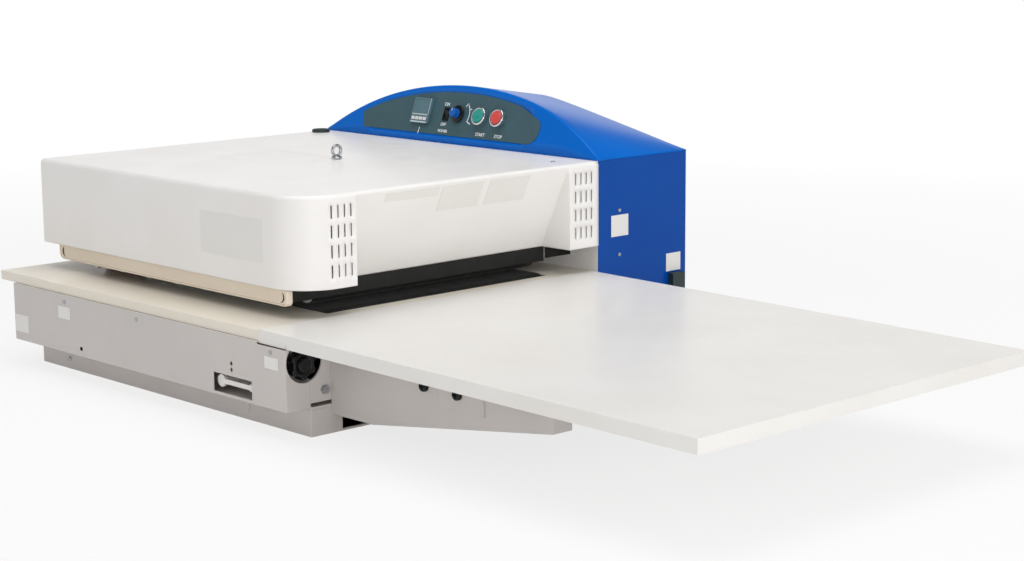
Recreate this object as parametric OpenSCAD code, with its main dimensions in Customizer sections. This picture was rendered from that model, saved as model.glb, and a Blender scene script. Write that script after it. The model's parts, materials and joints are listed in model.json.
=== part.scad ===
// Desktop belt heat press: a fusing press with an open near side.
// Goods lie on the infeed table (+X), ride between two heated belts and leave over the
// work table (-X). A column at the back (+Y) carries the head as a cantilever.
// The origin is on the floor, under the middle of the belts. +Z is up.

/* [Belts and rollers] */
// Width of both belts, across the feed
belt_w = 474; // [380:1:510]
// Thickness of a belt
belt_t = 1.2; // [0.8:0.1:2]
// Radius of the two driven rollers
drive_r = 26; // [22:1:28]
// Radius of the two infeed rollers
infeed_r = 22; // [18:1:24]
// Radius of the two press rollers
press_r = 20; // [16:1:22]
// Radius of every roller's shaft
shaft_r = 6; // [5:0.5:7]

/* [Head] */
// Length of the head, along the feed
head_l = 740; // [700:1:820]
// Height of the head's cover
head_h = 145; // [130:1:190]
// Height of the head's underside over the floor
head_z = 204; // [200:1:208]
// Distance from the belts' middle to the head's free end
head_front = 318; // [314:1:360]
// Inset of the sloping side panels at their lower edge
side_inset = 66; // [40:1:68]
// Radius of the large upright corner on the infeed side
corner_r = 74; // [20:1:90]

/* [Column and control arch] */
// Distance from the belts' middle to the column's front
col_front = 320; // [312:1:340]
// Depth of the column
col_d = 221; // [200:1:260]
// Height of the arch along its leaning face
arch_h = 111; // [95:1:130]
// Height of the arch at the back
arch_back_h = 76; // [50:1:90]
// Angle that the control face leans back
lean = 20; // [10:1:30]

/* [Tables] */
// Height of the work table's top over the floor
table_z = 159; // [159:0.1:159.4]
// Distance from the belts' middle to the tables' front edge
table_front = 392; // [380:1:396]
// Length of the infeed table
infeed_l = 872; // [600:1:1000]
// Angle that the infeed table droops
droop = 0.56; // [0:0.02:1]

/* [Base] */
// Height of the plinth
plinth_h = 42; // [36:1:44]
// Depth of the front cover's box, forward of the chassis
cover_d = 45; // [44:1:60]
// Length of the tension lever's arm
lever_l = 76; // [50:1:80]

/* [Hidden] */
$fn = 48;
run = 0.05;              // running fit of a shaft, on the radius
gap = 0.4;               // clearance between a belt and what it passes
sheet = 2;               // thickness of covers and skins
plate = 4;               // thickness of frame plates
half_l = head_l / 2;
head_top = head_z + head_h;
col_back = col_front + col_d;
lap = belt_t + gap;      // a belt's outer face over its roller

// plan of the base
base_x0 = -326;
base_x1 = 430;
base_y0 = -351;
base_y1 = 528;
deck_z = plinth_h + plate;       // top of the chassis floor
wall_top = 143.7;                // underside of the work table's edge
cover_y = base_y0 - cover_d;
cover_x0 = base_x0 - 12.5;

// belt paths: [x, z, radius] of each roller
drive_x = -276;
lower_drive = [drive_x, 132, drive_r];
upper_drive = [drive_x, 188, drive_r];
nip_low = lower_drive[1] + drive_r + lap;
nip_high = upper_drive[1] - drive_r - lap;
lower_infeed = [304, nip_low - lap - infeed_r, infeed_r];
upper_infeed = [275, nip_high + 6 + lap + infeed_r, infeed_r];
guide_r = 8;
entry_bar = [215, nip_high + lap + guide_r, guide_r];
press_x = -215;
lower_press = [press_x, nip_low - lap - press_r, press_r];
upper_press = [press_x, nip_high + lap + press_r, press_r];
lower_path = [lower_drive, lower_infeed];
upper_path = [entry_bar, upper_infeed, upper_drive];

// side rails that carry the rollers: [outer, inner] faces
up_front = [-305, -301];
up_back = [256, 260];
rail_face = -311;                // outer face of the front rail
low_front = [-262, -258];
low_back = [256, 260];
rail_top = 252;
rail_low = 178;
bearing_r = 9;
heat_x0 = -170;
heat_x1 = 185;
roll_half = belt_w / 2 - 1;
rail_x0 = base_x0 + 6.5;         // rear ends of the lower rails
lower_infeed_ends = [low_front[0] - 4, low_back[1] + 4];

// gears on the driven rollers, and the motor's pinion
module_mm = 2;
gear_teeth = 28;
pinion_teeth = 14;
gear_y = 328;
gear_w = 12;
pinion_z = lower_drive[1] - module_mm * (gear_teeth + pinion_teeth) / 2;

// tables
joint_x = 360;
work_x0 = -385;
infeed_top = table_z + 1.9;
infeed_t = 20.4;
table_back = 311;
bracket_y = [-312.6, 230];
bracket_w = 36;
bracket_x1 = 905;
channel_x = [677, 770];

// controls on the leaning face: [across, up the face]
ctl_at = [-102, 56];
rocker_at = [-36, 54];
knob_at = [-4, 56];
start_at = [59, 55];
stop_at = [107, 55];
button_r = 12.5;
ring_r = 17;
key_pitch = 10.5;
rocker_tilt = 10;

// tension lever and tracking knob
lever_at = [258, 66];
crank_r = 12;
hand_y = -361;
hand_z = 112;
hand_r = 24;

// ---- helpers ----

// a box given by its low and high corners
module box(a, b) {
    translate(a) cube(b - a);
}

// a cylinder along Y from y0 to y1, on the axis (x, z)
module rod_y(x, z, r, y0, y1) {
    translate([x, y0, z]) rotate([-90, 0, 0]) cylinder(r = r, h = y1 - y0);
}

// a cylinder along X from x0 to x1, on the axis (y, z)
module rod_x(y, z, r, x0, x1) {
    translate([x0, y, z]) rotate([0, 90, 0]) cylinder(r = r, h = x1 - x0);
}

// a flat XZ profile given thickness along Y, from y0 to y1
module slab_y(y0, y1) {
    translate([0, y1, 0]) rotate([90, 0, 0]) linear_extrude(y1 - y0) children();
}

// the frame of the leaning control face: x across, y up the face, z outward
module on_face() {
    translate([0, col_front, head_top]) rotate([90 - lean, 0, 0]) children();
}

// the frame of the right sloping side panel: x along +Y, y up the slope, z outward
module on_slope() {
    tilt = atan2(side_inset, head_h - 4);
    translate([half_l - side_inset, 0, head_z])
        rotate([0, 0, 90]) rotate([90 + tilt, 0, 0]) children();
}

// points of an arc about c
function arc(c, r, a0, a1, n = 10) =
    [for (i = [0:n]) let (a = a0 + (a1 - a0) * i / n) c + r * [cos(a), sin(a)]];

// direction of the outward normal where a tight belt leaves roller a for roller b
function leave(a, b) = let (d = [b[0] - a[0], b[1] - a[1]])
    atan2(d[1], d[0]) - acos((a[2] - b[2]) / norm(d));

// outline of a tight belt round rollers listed anticlockwise, lift outside their faces
function wrap(path, lift) = let (n = len(path)) [for (i = [0:n - 1])
    let (p = path[(i + n - 1) % n], c = path[i], q = path[(i + 1) % n],
         a0 = leave(p, c), a1 = leave(c, q), turn = (a1 - a0 + 720) % 360,
         steps = max(2, ceil(turn / 10)))
    for (k = [0:steps]) let (a = a0 + turn * k / steps)
        [c[0] + (c[2] + lift) * cos(a), c[1] + (c[2] + lift) * sin(a)]];

// outline of a spur gear: straight-sided teeth, narrow enough for free running
function gear_points(teeth, phase = 0) =
    let (rp = module_mm * teeth / 2, step = 360 / teeth)
    [for (i = [0:teeth - 1]) let (a = phase + i * step) for (q = [
        [-0.30, -2.4], [-0.21, 0], [-0.11, 1.6], [0.11, 1.6], [0.21, 0], [0.30, -2.4]])
        (rp + q[1]) * [cos(a + q[0] * step), sin(a + q[0] * step)]];

// ---- base ----

module plinth() {
    color([0.76, 0.75, 0.74]) difference() {
        box([base_x0, base_y0, 0], [base_x1, base_y1, plinth_h]);
        box([base_x0 + 3, base_y0 + 3, 3], [base_x1 - 3, base_y1 - 3, plinth_h - 3]);
        box([base_x0 + 28, base_y0 + 28, plinth_h - 4],
            [base_x1 - 28, base_y1 - 28, plinth_h + 1]);
        box([base_x1 - 4, base_y0 + 60, 4], [base_x1 + 1, base_y1 - 160, plinth_h - 13]);
    }
}

module chassis() {
    color([0.78, 0.77, 0.76]) difference() {
        union() {
            box([base_x0, base_y0, plinth_h], [base_x1, base_y1, deck_z]);
            box([-half_l, col_front, plinth_h], [half_l, col_back, deck_z]);
            box([base_x0, base_y0, deck_z], [base_x1, base_y0 + plate, wall_top]);
            box([base_x0, base_y0, deck_z], [base_x0 + plate, col_front, wall_top]);
            box([base_x1 - plate, base_y0, deck_z], [base_x1, table_back - 2.5, wall_top + 13.5]);
            // bush of the tracking knob's shaft
            box([372, base_y0 - 22, hand_z - 12], [384, base_y0, hand_z + 12]);
        }
        // lifting slot with a round rear end, low in the right wall
        box([base_x1 - 5, base_y0 - 1, deck_z], [base_x1 + 1, base_y0 + 46, deck_z + 6]);
        rod_x(base_y0 + 46, deck_z + 3, 3, base_x1 - 5, base_x1 + 1);
        // half-round recess round the tracking knob
        rod_x(hand_y, 118, 33, base_x1 - 34, base_x1 + 1);
        // way through the front wall for the lever's shaft
        rod_y(lever_at[0], lever_at[1], 5 + run, base_y0 - 1, base_y0 + plate + 1);
        rod_x(hand_y, hand_z, 5 + run, 371, 385);
        // step in the front wall that clears the infeed table's edge
        box([joint_x - 1, base_y0 - 1, 139], [base_x1 - plate, base_y0 + 5, 150]);
        // openings that lighten the chassis floor
        for (x = [-250, -20, 210])
            box([x, -200, plinth_h - 1], [x + 130, 200, deck_z + 1]);
    }
}

module base_front_cover() {
    top = wall_top - 0.5;
    step_z = 139;            // lower where the infeed table's fold passes
    z0 = plinth_h + 3;
    color([0.78, 0.77, 0.77]) difference() {
        union() {
            box([cover_x0, cover_y, z0], [joint_x, cover_y + sheet, top]);
            box([joint_x - 1, cover_y, z0], [base_x1, cover_y + sheet, step_z]);
            box([base_x1 - sheet, cover_y, z0], [base_x1, base_y0, step_z]);
            box([cover_x0, cover_y, z0], [cover_x0 + sheet, base_y0, top]);
            box([cover_x0, cover_y, z0], [base_x1, base_y0, z0 + sheet]);
            box([cover_x0, cover_y, top - sheet], [joint_x, cover_y + 18, top]);
        }
        // hand opening in front of the tension lever
        box([247, cover_y - 1, z0 + 5], [345, cover_y + sheet + 1, z0 + 34]);
        // two screwdriver holes and a keyhole slot
        for (z = [z0 + 44, z0 + 54]) rod_y(294, z, 3.2, cover_y - 1, cover_y + sheet + 1);
        box([-133, cover_y - 1, z0 + 10], [-125, cover_y + sheet + 1, z0 + 16]);
        rod_x(hand_y, 118, 33, base_x1 - 40, base_x1 + 1);
    }
}

// sheet tray with its edges folded down; d is the depth of the fold
module tray(x0, x1, y0, y1, top, d) {
    difference() {
        box([x0, y0, top - d], [x1, y1, top]);
        box([x0 + sheet, y0 + sheet, top - d - 1], [x1 - sheet, y1 - sheet, top - sheet]);
    }
}

module work_table() {
    cut = [[drive_x - drive_r - 5, -belt_w / 2 - 2], [331, belt_w / 2 + 2]];
    color([0.93, 0.93, 0.92]) difference() {
        union() {
            tray(work_x0, joint_x, -table_front, col_front, table_z, table_z - wall_top);
            // pads that bear on the chassis walls
            box([base_x0, base_y0 - 2, wall_top], [joint_x - 1, base_y0 + 6, table_z - 1]);
            box([base_x0 - 2, base_y0, wall_top], [base_x0 + 6, col_front - 1, table_z - 1]);
        }
        box([cut[0][0], cut[0][1], 100], [cut[1][0], cut[1][1], table_z + 1]);
    }
}

module infeed_table() {
    color([0.94, 0.94, 0.93]) translate([joint_x, 0, infeed_top]) rotate([0, droop, 0])
        difference() {
            tray(0.3, infeed_l, -table_front, table_back, 0, infeed_t);
            // notch in the rear edge
            box([470, table_back - 1.2, -infeed_t - 1], [500, table_back + 1, -6]);
        }
}

// underside of the infeed table's sheet at x
function under(x) = infeed_top - sheet / cos(droop) - (x - joint_x) * tan(droop);

module bracket_side(web, y1) {
    z0 = 30;
    x0 = base_x1;
    outer = [[x0, z0], [525, z0], [bracket_x1, 83.4], [bracket_x1, under(bracket_x1)],
        [x0, under(x0)]];
    inner = [[x0 - 1, z0 + 3], [525, z0 + 3], [bracket_x1 - 3, 86.2],
        [bracket_x1 - 3, under(bracket_x1) - 3], [x0 - 1, under(x0) - 3]];
    difference() {
        slab_y(min(web, y1), max(web, y1)) polygon(outer);
        // the channel's inside, open on the face away from the web
        slab_y(min(web, y1) + (y1 > web ? 3 : -1), max(web, y1) + (y1 > web ? 1 : -3))
            polygon(inner);
        box([channel_x[0], min(web, y1) - 1, 83], [channel_x[1], max(web, y1) + 1, 138]);
    }
}

module infeed_brackets() {
    color([0.76, 0.75, 0.74]) {
        bracket_side(bracket_y[0], bracket_y[0] + bracket_w);
        bracket_side(bracket_y[1] + bracket_w, bracket_y[1]);
    }
}

module table_cross_channel() {
    y0 = bracket_y[0] - 3;
    y1 = bracket_y[1] + bracket_w + 3;
    color([0.86, 0.85, 0.84]) difference() {
        box([channel_x[0], y0, 83], [channel_x[1], y1, 138]);
        box([channel_x[0] + 3, y0 + 3, 82], [channel_x[1] - 3, y1 - 3, 135]);
    }
}

module bracket_screws() {
    color([0.12, 0.12, 0.12]) for (q = [[645, 0], [719, -3]])
        rod_y(q[0], 108, 8, bracket_y[0] + q[1] - 7, bracket_y[0] + q[1]);
}

// ---- column ----

module column_frame() {
    x = half_l - 24;
    color([0.55, 0.57, 0.60]) union() {
        for (s = [-1, 1]) {
            box([s > 0 ? x - 6 : -x, col_front + 6, deck_z],
                [s > 0 ? x : -x + 6, col_back - 20, head_top - 18]);
        }
        box([-x, col_front + 10, head_top - 60], [x, col_front + 50, head_top - 20]);
        box([-x, col_back - 62, head_top - 60], [x, col_back - 22, head_top - 20]);
        box([-x, col_back - 62, deck_z], [x, col_back - 22, deck_z + 30]);
    }
}

module column_front_panel() {
    color([0.90, 0.90, 0.89]) difference() {
        box([-half_l + sheet, col_front, deck_z], [half_l - sheet, col_front + sheet, head_top]);
        box([-half_l + 30, col_front - 1, head_z + 10],
            [half_l - 30, col_front + sheet + 1, head_top - 8]);
        for (r = [lower_drive, upper_drive])
            rod_y(r[0], r[1], shaft_r + 2, col_front - 1, col_front + sheet + 1);
    }
}

module column_skin(s) {
    color([0.0, 0.29, 0.60]) mirror([s < 0 ? 1 : 0, 0, 0]) {
        box([half_l - sheet, col_front, deck_z], [half_l, col_back, head_top]);
        box([half_l - 20, col_front + sheet, deck_z], [half_l - sheet, col_front + 4, head_top]);
        box([half_l - 20, col_back - 4, deck_z], [half_l - sheet, col_back - sheet, head_top]);
        box([half_l - 24, col_back - 40, deck_z], [half_l - sheet, col_back - 30, deck_z + 20]);
    }
}

module column_skin_right() {
    column_skin(1);
}

module column_skin_left() {
    column_skin(-1);
}

module column_rear_panel() {
    color([0.0, 0.29, 0.60]) difference() {
        box([-half_l + sheet, col_back - sheet, deck_z], [half_l - sheet, col_back, head_top]);
        for (x = [-300, 210], i = [0:7])
            box([x, col_back - 3, 210 + 12 * i], [x + 90, col_back + 1, 214 + 12 * i]);
        box([-20, col_back - 3, 90], [30, col_back + 1, 122]);
    }
}

// height of the arch up its leaning face, x from the middle
function arch_up(x) = let (q = x / half_l) arch_h - 0.745 * arch_h * q * q
    - 0.24 * arch_h * q * q * q * q;

// height of the arch's back edge: two straight flanks and a rounded top
function back_up(x) = let (flank = (arch_back_h + 8) / half_l)
    arch_back_h + 8 - sqrt(pow(flank * x * 0.98, 2) + 64);

// an arch profile: base line, then points over it; drop moves the curve inward
function arch_profile(back, inset) = let (h = half_l - inset)
    concat([[-h, 0], [h, 0]],
        [for (i = [0:28]) let (x = h * cos(180 * i / 28) * 0.9999)
            [x, max(0.4, (back ? back_up(x) : arch_up(x)) - inset)]]);

module arch_block(inset) {
    hull() {
        on_face() translate([0, 0, -inset - 0.2])
            linear_extrude(0.2) polygon(arch_profile(false, inset));
        translate([0, col_back - inset, head_top]) rotate([90, 0, 0])
            linear_extrude(0.2) polygon(arch_profile(true, inset));
    }
}

module arch_cover() {
    color([0.0, 0.39, 0.75]) difference() {
        arch_block(0);
        translate([0, 0, -0.6]) arch_block(2.5);
        // flat foot on the column's top
        box([-half_l - 5, col_front - 5, head_top - 5],
            [half_l + 5, col_back + 5, head_top]);
        on_face() {
            translate([ctl_at[0] - 22.5, ctl_at[1] - 22.5, -9]) cube([45, 45, 14]);
            translate([rocker_at[0] - 6.5, rocker_at[1] - 11, -9]) cube([13, 22, 14]);
            translate([knob_at[0], knob_at[1], -9]) cylinder(r = 5, h = 14);
            for (p = [start_at, stop_at])
                translate([p[0], p[1], -9]) cylinder(r = 14.6, h = 14);
        }
    }
}

// ---- controls ----

plate_top = 1.2;

// outline of the dark control plate: square left end, round right end, arched top
function plate_points() = let (rim = 14, x0 = -262, x1 = 186, r = 27)
    concat([[x0, 15]], arc([x1, 15 + r], r, -90, 40, 10),
        [for (i = [1:14]) let (x = x1 + (x0 - 6 - x1) * i / 14)
            [x, arch_up(x) - rim]], [[x0 - 8, 40]]);

module control_plate() {
    color([0.28, 0.38, 0.42]) on_face() difference() {
        linear_extrude(plate_top) polygon(plate_points());
        translate([ctl_at[0] - 22.5, ctl_at[1] - 22.5, -1]) cube([45, 45, 4]);
        translate([rocker_at[0] - 6.5, rocker_at[1] - 11, -1]) cube([13, 22, 4]);
        translate([knob_at[0], knob_at[1], -1]) cylinder(r = 5, h = 4);
        for (p = [start_at, stop_at])
            translate([p[0], p[1], -1]) cylinder(r = 14.6, h = 4);
    }
}

// middle of key i in the controller's row, i from 0 to 3
function key_x(i) = ctl_at[0] + (i - 1.5) * key_pitch;
key_y = ctl_at[1] - 15.5;

module temp_controller() {
    color([0.22, 0.24, 0.25]) on_face() difference() {
        union() {
            translate([ctl_at[0] - 24, ctl_at[1] - 24, plate_top]) cube([48, 48, 6]);
            translate([ctl_at[0] - 22.3, ctl_at[1] - 22.3, -60]) cube([44.6, 44.6, 61.5]);
        }
        translate([ctl_at[0] - 20, ctl_at[1] - 6, plate_top + 4.5]) cube([40, 26, 4]);
        for (i = [0:3])
            translate([key_x(i) - 4.3, key_y - 3.3, plate_top + 1]) cube([8.6, 6.6, 8]);
    }
}

module controller_window() {
    color([0.10, 0.12, 0.13]) on_face()
        translate([ctl_at[0] - 19.8, ctl_at[1] - 5.8, plate_top + 4.5]) cube([39.6, 25.6, 1.2]);
}

// one controller key, standing on its contact
module key(i) {
    color([0.75, 0.76, 0.76]) on_face()
        translate([key_x(i) - 4, key_y - 3, plate_top + 2.2]) cube([8, 6, 5]);
}

module key_set() {
    key(0);
}

module key_shift() {
    key(1);
}

module key_down() {
    key(2);
}

module key_up() {
    key(3);
}

module rocker_frame() {
    color([0.07, 0.07, 0.07]) on_face() translate([rocker_at[0], rocker_at[1], 0]) difference() {
        union() {
            translate([-7.5, -12.5, plate_top]) cube([15, 25, 2]);
            translate([-6.4, -10.9, -18]) cube([12.8, 21.8, 20]);
        }
        translate([-5.2, -9.7, -12]) cube([10.4, 19.4, 20]);
        // pivot holes
        rotate([0, 90, 0]) translate([0, 0, -5.9]) cylinder(r = 1.4 + run, h = 11.8);
    }
}

module power_rocker() {
    cap = [[-8.6, 3.2], [-8.6, -3], [-3, -8], [3, -8], [8.6, -3], [8.6, 3.2], [0, 1.6]];
    color([0.1, 0.1, 0.1]) on_face() translate([rocker_at[0], rocker_at[1], 0]) union() {
        rotate([90, 0, 90]) translate([0, 0, -4.8]) linear_extrude(9.6)
            rotate(rocker_tilt) polygon(cap);
        rotate([0, 90, 0]) translate([0, 0, -5.8]) cylinder(r = 1.4, h = 11.6);
    }
}

module speed_pot() {
    color([0.4, 0.4, 0.42]) on_face() translate([knob_at[0], knob_at[1], 0]) difference() {
        union() {
            translate([0, 0, -20]) cylinder(r = 12, h = 17.28);
            translate([0, 0, -4]) cylinder(r = 4.9, h = 7);
        }
        translate([0, 0, -15]) cylinder(r = 3 + run, h = 30);
    }
}

module speed_knob() {
    color([0.05, 0.35, 0.75]) on_face() translate([knob_at[0], knob_at[1], 0]) union() {
        translate([0, 0, -14]) cylinder(r = 3, h = 20);
        translate([0, 0, 3.6]) cylinder(r = 16, h = 3);
        translate([0, 0, 6.6]) cylinder(r = 9, h = 13);
        translate([-0.9, 2, 19]) cube([1.8, 7, 1.1]);
    }
}

module button_rings() {
    color([0.85, 0.86, 0.88]) on_face() for (p = [start_at, stop_at])
        translate([p[0], p[1], 0]) difference() {
            union() {
                translate([0, 0, plate_top]) cylinder(r = ring_r, h = 11);
                translate([0, 0, -22]) cylinder(r = 14.4, h = 24);
            }
            translate([0, 0, -12]) cylinder(r = button_r + run, h = 40);
        }
}

// a push button on its plunger; z0 is where its cap ends inside the ring
module push_button(p) {
    on_face() translate([p[0], p[1], -6]) cylinder(r = button_r, h = 20);
}

module start_button() {
    color([0.20, 0.58, 0.50]) push_button(start_at);
}

module stop_button() {
    color([0.82, 0.22, 0.20]) push_button(stop_at);
}

module control_board() {
    color([0.1, 0.4, 0.25]) union() {
        box([-150, col_front + 30, head_top - 20], [170, col_front + 32, head_top - 4]);
        box([-150, col_front + 30, head_top - 20], [170, col_front + 120, head_top - 18]);
    }
}

module power_unit() {
    color([0.65, 0.66, 0.67]) union() {
        box([40, col_front + 60, deck_z], [200, col_back - 63, deck_z + 70]);
        box([230, col_front + 80, deck_z], [300, col_back - 63, deck_z + 90]);
    }
}

module power_inlet() {
    color([0.08, 0.08, 0.08]) difference() {
        union() {
            box([-19.7, col_back - 24, 90.3], [29.7, col_back, 121.7]);
            box([-25, col_back, 84], [35, col_back + 3, 128]);
        }
        box([-9, col_back - 16, 96], [19, col_back + 4, 116]);
    }
}

module side_terminal() {
    color([0.10, 0.14, 0.12]) union() {
        box([half_l, 496, 107], [half_l + 12, 527, 135]);
        box([half_l, 500, 100], [half_l + 6, 523, 107]);
    }
}

// ---- head ----

module head_frame() {
    z0 = rail_top;
    z1 = z0 + 60;
    color([0.55, 0.57, 0.60]) difference() {
        union() {
            for (x = [-170, 120]) box([x, up_front[0], z0], [x + 50, col_front + 10, z1]);
            box([-120, up_front[0], z0], [120, up_front[0] + 40, z1]);
            box([-120, 20, z0], [120, 66, z1]);
            box([-200, col_front + 2, z0 - 4], [200, col_front + 10, z1 + 16]);
        }
        for (x = [-170, 120])
            box([x + plate, up_front[0] + plate, z0 + plate],
                [x + 50 - plate, col_front + 11, z1 - plate]);
        translate([9, 43, z0 - 1]) cylinder(r = 5, h = 70);
    }
}

// plan outline of the head: a large corner at the infeed side, a small one opposite
function head_plan(inset) = let (h = half_l - inset, f = -head_front + inset,
        big = corner_r - inset, small = 12 - inset)
    concat(arc([-h + small, f + small], small, 180, 270, 6),
        arc([h - big, f + big], big, 270, 360, 18),
        [[h, col_front + (inset > 0 ? 1 : 0)], [-h, col_front + (inset > 0 ? 1 : 0)]]);

module head_block(inset) {
    lip = 4;
    difference() {
        translate([0, 0, head_z]) linear_extrude(head_h - inset) polygon(head_plan(inset));
        for (s = [0, 1]) mirror([s, 0, 0])
            slab_y(-207 - inset, 250 + inset) polygon([
                [half_l + 0.01 - inset * 1.1, head_top - lip],
                [half_l - side_inset - inset * 1.1, head_z],
                [half_l - side_inset - inset * 1.1, head_z - 2],
                [half_l + 5, head_z - 2], [half_l + 5, head_top - lip]]);
    }
}

module head_cover() {
    color([0.90, 0.89, 0.88]) difference() {
        head_block(0);
        translate([0, 0, -0.01]) head_block(sheet);
        // slots in the upright ends of the infeed side: four rows of four
        for (y = [-256, 266], i = [0:3], k = [0:3])
            box([half_l - 5, y + 12.5 * i - 1.4, 221 + 30.6 * k],
                [half_l + 1, y + 12.5 * i + 1.4, 241 + 30.6 * k]);
        translate([9, 43, head_top - 5]) cylinder(r = 5.5, h = 10);
    }
}

// XZ outline of a side rail of the head, with rounded lower corners; x1 is its infeed end
function rail_points(x1) = concat(arc([-310, rail_low + 12], 12, 180, 270, 6),
    arc([x1 - 8, rail_low + 8], 8, 270, 360, 6), [[x1, 203], [298, 204],
    [298, rail_top], [-300, rail_top], [-300, 204], [-322, 203]]);

module upper_rails() {
    color([0.80, 0.76, 0.70]) difference() {
        union() {
            slab_y(rail_face, up_front[1]) polygon(rail_points(327));
            slab_y(up_back[0], up_back[1]) polygon(rail_points(299.5));
        }
        // bearing seats: blind in the front rail, through the rear one
        for (r = [upper_drive, upper_infeed, upper_press]) {
            rod_y(r[0], r[1], bearing_r, rail_face + 2.5, up_front[1] + 1);
            rod_y(r[0], r[1], bearing_r, up_back[0] - 1, up_back[1] + 1);
        }
        // adjusting slots near the ends of the front rail
        for (x = [-312, 315])
            box([x, rail_face - 1, rail_low + 9], [x + 3, rail_face + 1.5, 197]);
    }
}

module bearing(r, y) {
    difference() {
        rod_y(r[0], r[1], bearing_r, y[0] - 1, y[1] + 1);
        rod_y(r[0], r[1], shaft_r + run, y[0] - 2, y[1] + 2);
    }
}

module roller_bearings() {
    color([0.75, 0.76, 0.78]) {
        for (r = [upper_drive, upper_infeed, upper_press]) {
            bearing(r, up_front);
            bearing(r, up_back);
        }
        for (r = [lower_drive, lower_press]) {
            bearing(r, low_front);
            bearing(r, low_back);
        }
    }
}

// a closed belt on its path
module belt(path) {
    color([0.10, 0.10, 0.09]) slab_y(-belt_w / 2, belt_w / 2) difference() {
        polygon(wrap(path, lap));
        polygon(wrap(path, gap));
    }
}

module upper_belt() {
    belt(upper_path);
}

module lower_belt() {
    belt(lower_path);
}

// a roller with its shaft from y0 to y1
module roller(r, y0, y1) {
    rod_y(r[0], r[1], r[2], -roll_half, roll_half);
    rod_y(r[0], r[1], shaft_r, y0, y1);
}

module upper_drive_roller() {
    color([0.35, 0.33, 0.32]) roller(upper_drive, up_front[0] - 2, gear_y + gear_w + 3);
}

module upper_infeed_roller() {
    color([0.70, 0.71, 0.73]) roller(upper_infeed, up_front[0] - 2, up_back[1] + 3);
}

module upper_press_roller() {
    color([0.55, 0.20, 0.15]) roller(upper_press, up_front[0] - 2, up_back[1] + 3);
}

module upper_heater() {
    z0 = nip_high + lap;
    color([0.78, 0.79, 0.80]) union() {
        box([heat_x0, -roll_half, z0], [heat_x1, roll_half, z0 + 12]);
        // bars that hang the plate between the rails
        for (x = [heat_x0 + 20:80:heat_x1 - 40])
            box([x, up_front[1], z0 + 12], [x + 12, up_back[0], z0 + 24]);
    }
}

module entry_guide_bar() {
    y1 = belt_w / 2 + 6;
    x = entry_bar[0];
    color([0.80, 0.81, 0.83]) union() {
        rod_y(x, entry_bar[1], guide_r, -y1, y1);
        // arms that carry the bar from the rails
        for (e = [[up_front[1], 3 - y1], [y1 - 3, up_back[0]]])
            box([x - 6, e[0], 181], [x + 6, e[1], 190]);
        for (y = [-y1, y1 - 3]) box([x - 6, y, entry_bar[1]], [x + 6, y + 3, 190]);
    }
}

module infeed_guard() {
    color([0.08, 0.08, 0.08]) {
        box([300, up_front[1], rail_low], [302, up_back[0], 203]);
        box([300, up_back[1], rail_low + 4], [302, col_front, 203]);
    }
}

// ---- lower unit ----

module lower_rail(y) {
    top = 154;
    difference() {
        slab_y(y[0], y[1]) polygon([[rail_x0, deck_z], [345, deck_z], [345, top], [rail_x0, top]]);
        for (r = [lower_drive, lower_press])
            rod_y(r[0], r[1], bearing_r, y[0] - 1, y[1] + 1);
        // open window that guides the tension carriage
        box([258, y[0] - 1, lower_infeed[1] - 14.3], [319, y[1] + 1, lower_infeed[1] + 14.3]);
    }
}

module lower_rails() {
    color([0.62, 0.63, 0.65]) difference() {
        union() {
            lower_rail(low_front);
            lower_rail(low_back);
        }
        // bore that carries the inner end of the lever's shaft
        rod_y(lever_at[0], lever_at[1], 5 + run, low_front[0] - 1, low_front[1] + 1);
    }
}

module lower_drive_roller() {
    color([0.35, 0.33, 0.32]) roller(lower_drive, low_front[0] - 2, gear_y + gear_w + 3);
}

module lower_infeed_roller() {
    color([0.70, 0.71, 0.73]) roller(lower_infeed, lower_infeed_ends[0], lower_infeed_ends[1]);
}

module lower_press_roller() {
    color([0.55, 0.20, 0.15]) roller(lower_press, low_front[0] - 2, low_back[1] + 3);
}

module lower_heater() {
    z1 = nip_low - lap;
    color([0.78, 0.79, 0.80]) union() {
        box([heat_x0, low_front[1], z1 - 12], [heat_x1, low_back[0], z1 - 1.2]);
        box([heat_x0, -roll_half, z1 - 2], [heat_x1, roll_half, z1]);
        for (x = [heat_x0 + 20:80:heat_x1 - 40])
            box([x, -220, z1 - 24], [x + 12, 220, z1 - 12]);
    }
}

// bearing blocks of the lower infeed roller, tied by a bar; the front one has a yoke leg
module tension_carriage() {
    r = lower_infeed;
    z = r[1];
    color([0.72, 0.73, 0.75]) difference() {
        union() {
            box([268, low_front[0] - 6, z - 14], [318, low_front[1] + 10, z + 14]);
            box([268, low_back[0] - 10, z - 14], [318, low_back[1] + 6, z + 14]);
            box([268, low_front[1], z - 8], [276, low_back[0], z + 8]);
            // yoke leg beside the rail, down to the crank pin
            box([lever_at[0] - 12, low_front[0] - 10, lever_at[1] + crank_r - 6],
                [lever_at[0] + 12, low_front[0] - 6, z + 14]);
            box([lever_at[0], low_front[0] - 10, z - 14], [318, low_front[0] - 6, z + 14]);
        }
        rod_y(r[0], z, shaft_r + run, low_front[0] - 12, low_back[1] + 12);
        box([lever_at[0] - 3.6, low_front[0] - 11, lever_at[1] + crank_r - 11],
            [lever_at[0] + 3.6, low_front[0] - 5, lever_at[1] + crank_r + 6]);
    }
}

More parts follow.
